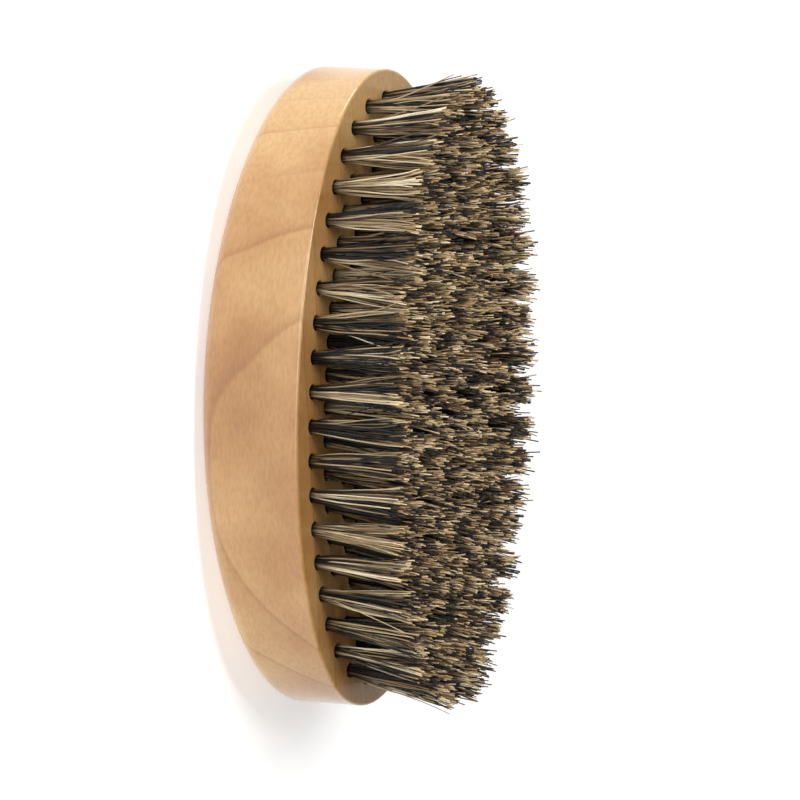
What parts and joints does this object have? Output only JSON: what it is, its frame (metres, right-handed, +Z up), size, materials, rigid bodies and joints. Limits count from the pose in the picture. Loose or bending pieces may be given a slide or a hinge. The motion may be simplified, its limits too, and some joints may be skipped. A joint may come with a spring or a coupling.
{
  "type": "beard brush",
  "caption": "Oval palm-held beard brush with a domed light wood block and rings of stiff natural bristle tufts trimmed flat",
  "frame": {"origin": "Centre of the bounding box on the ground plane: the brush lies on its domed back, and the origin is the lowest point of the dome.", "axes": "+Z is up, the way the bristles point. Y runs along the length of the oval, with +Y at the end that is on top in the picture, and X is its width."},
  "size_m": [0.06, 0.12, 0.043],
  "materials": {
    "wood": "light maple or beech under a satin clear lacquer",
    "bristle": "mixed blond, brown and black boar bristle",
    "anchor": "plain flat steel wire"
  },
  "bodies": {
    "root": {"anchors_centre_1": "anchor", "anchors_centre_2": "anchor", "anchors_inner_1": "anchor", "anchors_inner_2": "anchor", "anchors_inner_3": "anchor", "anchors_inner_4": "anchor", "anchors_outer_1": "anchor", "anchors_outer_2": "anchor", "anchors_outer_3": "anchor", "anchors_outer_4": "anchor", "anchors_second_1": "anchor", "anchors_second_2": "anchor", "anchors_second_3": "anchor", "anchors_second_4": "anchor", "anchors_third_1": "anchor", "anchors_third_2": "anchor", "anchors_third_3": "anchor", "anchors_third_4": "anchor", "block": "wood", "tufts_centre_1": "bristle", "tufts_centre_2": "bristle", "tufts_inner_1": "bristle", "tufts_inner_2": "bristle", "tufts_inner_3": "bristle", "tufts_inner_4": "bristle", "tufts_outer_1": "bristle", "tufts_outer_2": "bristle", "tufts_outer_3": "bristle", "tufts_outer_4": "bristle", "tufts_second_1": "bristle", "tufts_second_2": "bristle", "tufts_second_3": "bristle", "tufts_second_4": "bristle", "tufts_third_1": "bristle", "tufts_third_2": "bristle", "tufts_third_3": "bristle", "tufts_third_4": "bristle"}
  },
  "joints": []
}
